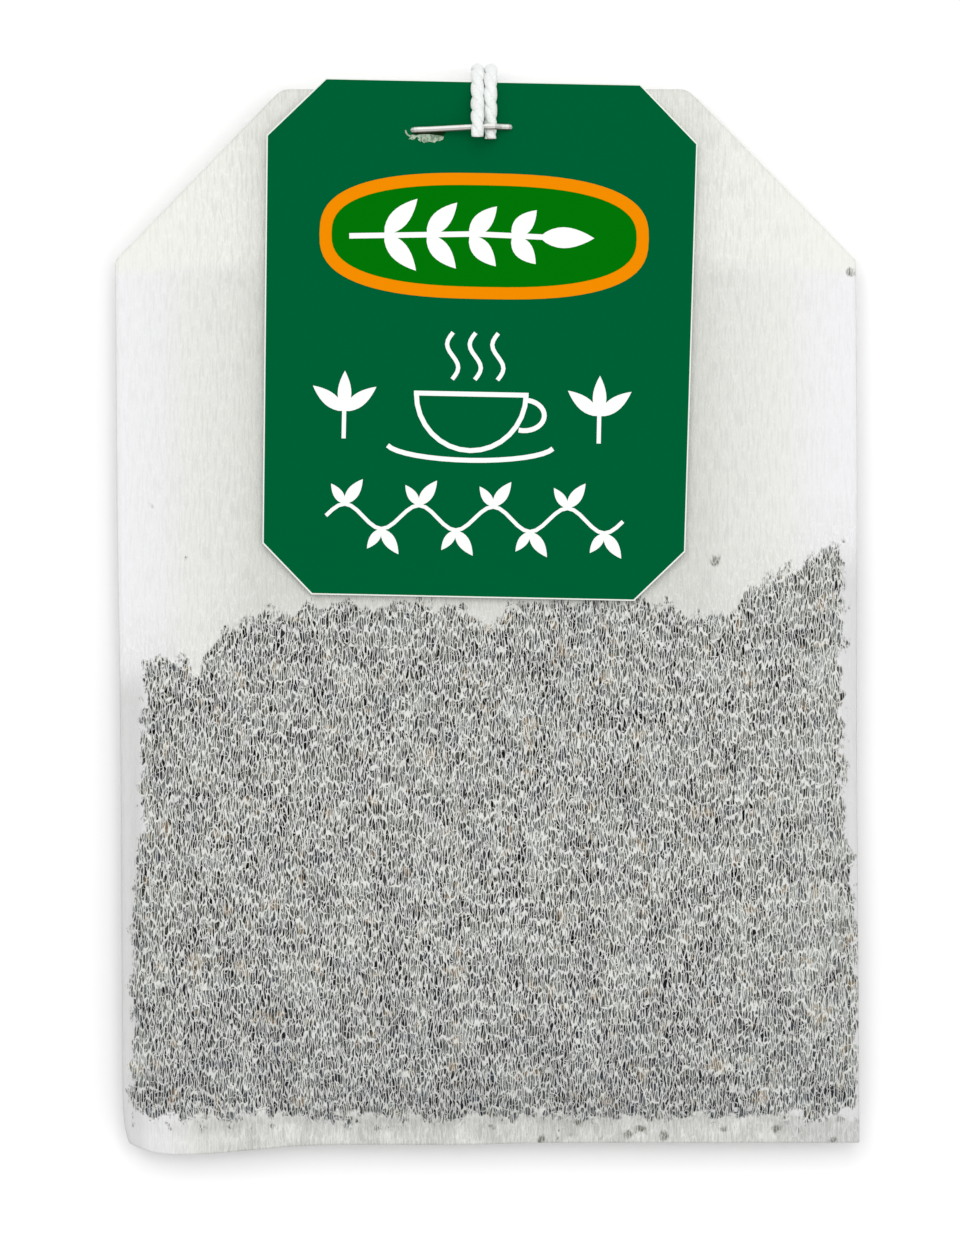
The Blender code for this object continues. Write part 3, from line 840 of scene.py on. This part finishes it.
def paper_rows():
    """Where the tube's rows of points lie along it, closest at the folds."""
    pocket_top = TUBE_END - POCKET_FOOT - POCKET_HEIGHT
    pocket_low = TUBE_END - POCKET_FOOT - 0.1 * POCKET_HEIGHT
    front = steps(0.0, pocket_top, 40) + steps(pocket_top, pocket_low, 34)
    front += steps(pocket_low, RUN, 10)
    arcs = []
    for begin in (RUN, SECOND_FOLD, THIRD_FOLD):
        arcs += steps(begin, begin + math.pi * BEND, 6) + [begin + math.pi * BEND]
    return front + arcs + [TUBE_LENGTH - row for row in reversed(front)]


def paper_columns():
    """Where its points lie from the middle to the side, closest at the side's crease."""
    half = BAG_WIDTH / 2 - PAPER / 2
    columns = steps(0.0, half * 0.9, 24) + steps(half * 0.9, half - WALL_LEVEL, 8)
    return columns + [half - WALL_LEVEL]


def thickened(piece):
    """Give a sheet the paper's thickness."""
    shell = piece.modifiers.new("paper", "SOLIDIFY")
    shell.thickness = PAPER
    shell.offset = 0
    shell.use_even_offset = True
    bpy.context.view_layer.update()
    seen = piece.evaluated_get(bpy.context.evaluated_depsgraph_get())
    piece.data = bpy.data.meshes.new_from_object(seen)
    piece.modifiers.clear()


def filled_out(x, place, on_back):
    """How far the tea pushes a pocket's outer wall out."""
    fill = pocket(x, place)
    if on_back:
        return min(REST_DEPTH, BACK_BULGE * fill)
    lumps = noise.noise(Vector((x, place, 0)) / (4.5 * mm))
    grains = noise.noise(Vector((x, place, 9)) / (1.6 * mm))
    return FRONT_BULGE * fill + (0.09 * lumps + 0.035 * grains) * mm * min(1.0, fill * 3)


def w_folded(point):
    """Where a point of the flat tube lies once the foot is folded to a W and the tea is in."""
    distance = -point.y
    height = point.z
    on_back = distance > TUBE_LENGTH / 2
    place = TUBE_END - (TUBE_LENGTH - distance if on_back else distance)
    if height > PAPER / 10 and not RUN < distance < TUBE_LENGTH - RUN:
        height += filled_out(point.x, place, on_back)
    down, up = Vector((0, -1, 0)), Vector((0, 1, 0))
    bottom = Vector((0, BOTTOM_CREASE, 0))
    gusset = Vector((0, GUSSET_CREASE, 0))
    level = MIDDLE + 1.5 * TUBE_PITCH
    folded = Vector((point.x, TUBE_END - distance, level + height))
    folded = fold_over(folded, bottom, down, level, BEND)
    if distance > SECOND_FOLD:
        folded = fold_over(folded, gusset, up, MIDDLE + 0.5 * TUBE_PITCH, BEND)
    if distance > THIRD_FOLD:
        folded = fold_over(folded, bottom, down, MIDDLE - 0.5 * TUBE_PITCH, BEND)
    if distance < RUN or distance > TUBE_LENGTH - RUN:
        folded.z += drawn_in(place) * (1 if on_back else -1)
    return folded


def filter_bag():
    """The folded paper, finer than its solid: the same folds, with fine creases and dents."""
    bm = flat_tube(paper_rows(), paper_columns())
    source = new_piece("folded_filter_paper", bm, filter_paper())
    thickened(source)
    bm = bmesh.new()
    bm.from_mesh(source.data)
    for vert in bm.verts:
        vert.co = w_folded(vert.co)
    slant = Vector((SHOULDER_DROP, SHOULDER_WIDTH, 0)).normalized()
    for side in (1, -1):
        direction = Vector((side * slant.x, slant.y, 0))
        shoulder = Vector((side * BAG_WIDTH / 2, BAG_TOP - SHOULDER_DROP, 0))
        crease = shoulder - direction * (SHOULDER_BEND + HEAD_HALF)
        crease_layers(bm, crease, direction, MIDDLE, SHOULDER_BEND)
    crease_layers(bm, Vector((0, HEAD_CREASE, 0)), Vector((0, 1, 0)), MIDDLE, HEAD_BEND)
    for vert in bm.verts:
        vert.co = as_photographed(vert.co)
    bm.to_mesh(source.data)
    bm.free()
    source.data.shade_smooth()
    source.data.update()
    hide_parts("filter_bag")


def round_head_fold(point):
    """How far round the head's fold a point lies: 0 before it, 1 at the top edge and behind."""
    up = point.z - (MIDDLE - HEAD_BEND)
    out = point.y - HEAD_CREASE
    if point.y < BAG_TOP - 2 * FLAP_LENGTH or (up > 0 and out < 0):
        return 0.0
    if up < 0:
        return 1.0
    return math.atan2(out, up) / (math.pi / 2)


def as_photographed(point):
    """The bag's small irregularities: it leans, and its lower left corner sags and is worn round."""
    height = (point.y - BAG_BOTTOM) / (BAG_TOP - BAG_BOTTOM)
    x = point.x * (1 + HEAD_WIDENING * ease(round_head_fold(point)))
    x *= FOOT_WIDTH_SHARE + UPPER_WIDENING * ease((height - 0.35) / 0.3)
    x += LEAN_AT_FOOT - LEAN * height
    at_foot = ease(1 - height / 0.12)
    sag = at_foot * ease(1 - abs(x + SAG_FROM_MIDDLE) / SAG_REACH)
    lift = at_foot * ease((x + 2 * mm) / (6 * mm))
    y = point.y + FOOT_LIFT * lift - SAG * sag
    corner = Vector((-BAG_WIDTH / 2, BAG_BOTTOM))
    near = max(0.0, 1 - (point.xy - corner).length / WORN_REACH)
    x += WORN_IN * near * near
    y += WORN_UP * near * near
    clear_of_tag = ease((abs(x) - 13.2 * mm) / (4 * mm)) * ease((point.y + 4 * mm) / (10 * mm))
    dents = noise.noise(Vector((x / (5 * mm), y / (13 * mm), 3)))
    dents += 0.5 * noise.noise(Vector((x / (2.2 * mm), y / (6 * mm), 7)))
    return Vector((x, y, point.z + DENT * dents * clear_of_tag))


def on_tag(x, y, height):
    """A place on the tag's printed face, from millimetres across and up from its middle."""
    place = TAG_MIDDLE + Matrix.Rotation(TAG_TURN, 2) @ Vector((x, y)) * mm
    return Vector((*place, TAG_FRONT + height * mm))


def raised(bm, outline, low, high):
    """A flat printed shape with its ink's thickness."""
    bottom = [bm.verts.new(on_tag(x, y, low)) for x, y in outline]
    top = [bm.verts.new(on_tag(x, y, high)) for x, y in outline]
    bm.faces.new(top)
    bm.faces.new(list(reversed(bottom)))
    for here in range(len(outline)):
        after = (here + 1) % len(outline)
        bm.faces.new((bottom[here], bottom[after], top[after], top[here]))


def stroke(points, width):
    """The outline of a line of even width along a run of points."""
    left, right = [], []
    for index, (x, y) in enumerate(points):
        before = points[max(index - 1, 0)]
        after = points[min(index + 1, len(points) - 1)]
        along = Vector((after[0] - before[0], after[1] - before[1])).normalized() * (width / 2)
        right.append((x + along.y, y - along.x))
        left.append((x - along.y, y + along.x))
    return right + list(reversed(left))


def leaf(x, y, heading, length, width):
    """A pointed leaf's outline, growing from a place at a heading in degrees."""
    along = Vector((math.cos(math.radians(heading)), math.sin(math.radians(heading))))
    across = Vector((-along.y, along.x))
    outline = []
    for side in (-1, 1):
        shares = [step / 9 for step in range(10)]
        for share in shares if side < 0 else list(reversed(shares))[1:-1]:
            wide = side * width / 2 * math.sin(math.pi * share**0.85) ** 0.9
            point = Vector((x, y)) + along * (length * share) + across * wide
            outline.append((point.x, point.y))
    return outline


def arc(x, y, wide, high, start, end, count=16):
    """Points on part of an oval, its ends in degrees."""
    angles = [math.radians(start + (end - start) * step / count) for step in range(count + 1)]
    return [(x + wide * math.cos(angle), y + high * math.sin(angle)) for angle in angles]


def oval(x, y, wide, high, power):
    """A rounded panel's outline, between an oval and a rectangle."""
    outline = []
    for step in range(72):
        angle = 2 * math.pi * step / 72
        c, s = math.cos(angle), math.sin(angle)
        across = math.copysign(abs(c) ** (2 / power), c)
        up = math.copysign(abs(s) ** (2 / power), s)
        outline.append((x + wide * across, y + high * up))
    return outline


def vine(x, y, width, height, waves, leaf_length):
    """A waving stem with a leaf at each crest."""
    count = waves * 12
    stem = []
    for step in range(count + 1):
        share = step / count
        stem.append((x + width * (share - 0.5), y + height * math.sin(2 * math.pi * waves * share)))
    shapes = [stroke(stem, 0.24)]
    for crest in range(2 * waves):
        up = 1 if crest % 2 == 0 else -1
        cx, cy = stem[crest * 6 + 3]
        shapes.append(leaf(cx, cy, 55 * up, leaf_length, 0.75))
        shapes.append(leaf(cx, cy, 125 * up, leaf_length * 0.8, 0.6))
    return shapes


def sprig(x, y, length):
    """A level sprig: a stem with leaves in pairs and one at its tip."""
    shapes = [stroke([(x - length / 2, y - 0.15), (x, y + 0.12), (x + length * 0.3, y)], 0.34)]
    for pair in range(4):
        px = x - length * 0.36 + pair * length * 0.17
        size = 3.0 - 0.25 * pair
        shapes.append(leaf(px, y, 48, size, 1.15))
        shapes.append(leaf(px, y, -48, size, 1.15))
    shapes.append(leaf(x + length * 0.26, y, 0, 3.4, 1.3))
    return shapes


def cup(x, y):
    """A steaming cup on a saucer, in thin lines."""
    line = 0.3
    shapes = [
        stroke(arc(x, y, 3.4, 3.5, 180, 360), line),
        stroke([(x - 3.55, y), (x + 3.55, y)], line),
        stroke(arc(x + 3.3, y - 1.25, 1.25, 0.95, 80, -105), line),
        stroke(arc(x, y - 3.1, 5.2, 1.0, 190, 350), line),
    ]
    for offset in (-1.2, 0.2, 1.6):
        steam = []
        for step in range(13):
            share = step / 12
            drift = 0.36 * math.sin(2 * math.pi * share)
            steam.append((x + offset + drift, y + 0.9 + 2.9 * share))
        shapes.append(stroke(steam, 0.26))
    return shapes


def printed(name, shapes, low, high, finish):
    """Shapes in one ink. Each is a little higher than the last, so that no two share a level."""
    bm = bmesh.new()
    for index, outline in enumerate(shapes):
        raised(bm, outline, low - index * INK / 50, high + index * INK / 50)
    bmesh.ops.recalc_face_normals(bm, faces=bm.faces)
    made = new_piece(name, bm, finish, smooth=False)


def tag_ground():
    """The tag's printed ground: its eight corners, a little inside the card's own."""
    head = TAG_WIDTH / 2 - PRINT_MARGIN
    foot = head - TAG_TAPER / 2
    high = TAG_HEIGHT / 2 - PRINT_MARGIN
    shrink = PRINT_MARGIN * (math.sqrt(2) - 1) * math.sqrt(2)
    top, low = TAG_TOP_CHAMFER + shrink - PRINT_MARGIN, TAG_FOOT_CHAMFER + shrink - PRINT_MARGIN
    right = [(foot - low, -high), (foot, low - high), (head, high - top), (head - top, high)]
    return right + [(-x, y) for x, y in reversed(right)]


def tag_print():
    """A green panel with an orange rim and a white sprig, over a cup and a vine in thin lines."""
    white = ink("white_ink", (250, 252, 250), (226, 236, 230))
    orange = ink("orange_ink", (240, 139, 0), (225, 131, 4))
    green = ink("green_ink", (2, 114, 7), (10, 119, 16))
    ground = ink("ground_ink", (0, 94, 52), (6, 98, 57))
    x, y = 0.25, 6.4
    printed("tag_print_ground", [tag_ground()], -INK, INK / 2, ground)
    printed("tag_print_rim", [oval(x, y, 10.2, 3.9, 2.7)], -INK, INK, orange)
    printed("tag_print_panel", [oval(x, y, 9.45, 3.15, 2.6)], -INK, 1.5 * INK, green)
    printed("tag_print_sprig", sprig(x - 0.6, y, 15.5), 0, 2.2 * INK, white)
    lines = cup(-0.35, -3.4) + vine(0.0, -11.1, 18.4, 0.75, 4, 1.9)
    for side in (-1, 1):
        for angle in (38, 90, 142):
            lines.append(leaf(side * 7.9 - 0.3, -4.6, angle, 2.5, 0.85))
        lines.append(stroke([(side * 7.9 - 0.3, -6.3), (side * 7.9 - 0.3, -4.4)], 0.26))
    printed("tag_print_lines", lines, -INK, INK, white)


def photo_place(px, py):
    """A pixel of the photograph as millimetres across and up from the tag's middle."""
    place = Matrix.Rotation(-TAG_TURN, 2) @ (Vector(at_pixel(px, py)) - TAG_MIDDLE)
    return place / mm


def torn_card():
    """Painted shadow under the staple's left end, where it tore the card, and the fibres it tore up.
    """
    # Painted shadow: a dark flat shape on the card where the raised wire shades it
    dark = ink("wire_shadow", (22, 44, 18), (40, 62, 34))
    printed("wire_shadow", [[photo_place(*point) for point in WIRE_SHADOW]], 0, 2.5 * INK, dark)

    paint = Paint("torn_card")
    where = paint.point()
    grain = paint.clouds(where, 6.0, detail=3.0)
    colour = paint.blend(grain.rising(0.35, 0.65), screen(112, 138, 112), screen(182, 200, 178))
    finish = paint.finish(
        Base_Color=colour, Roughness=0.8 + grain * 0.1, Normal=paint.bump(grain, 0.5, 0.00003)
    )
    shapes = [
        [photo_place(*point) for point in TORN_PATCH],
        stroke([tuple(photo_place(*point)) for point in TORN_CURL], 0.1),
    ]
    chance = random.Random(4)
    for _ in range(SHREDS):
        place = photo_place(chance.uniform(*SHREDS_ACROSS), chance.uniform(*SHREDS_DOWN))
        heading = chance.uniform(-50, 50) + chance.choice((0, 180))
        shapes.append(leaf(*place, heading, chance.uniform(0.15, 0.4), chance.uniform(0.06, 0.11)))
    printed("torn_card", shapes, 0, 3.5 * INK, finish)


def keep_nodes():
    """Pieces that keep their solid take their own finish."""
    finishes = {
        "front_tea": leaf_tea(),
        "tag": tag_card(),
        "tag_staple": staple_wire(),
    }
    finishes["back_tea"] = finishes["front_tea"]
    finishes["bag_staple"] = finishes["tag_staple"]
    for name, finish in finishes.items():
        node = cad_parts[name]
        node.data.materials.clear()
        node.data.materials.append(finish)


def main():
    """The camera and the thread first, then the light, the table and the other pieces."""
    camera()
    thread()
    lights()
    floor()
    filter_bag()
    tag_print()
    torn_card()
    keep_nodes()


main()
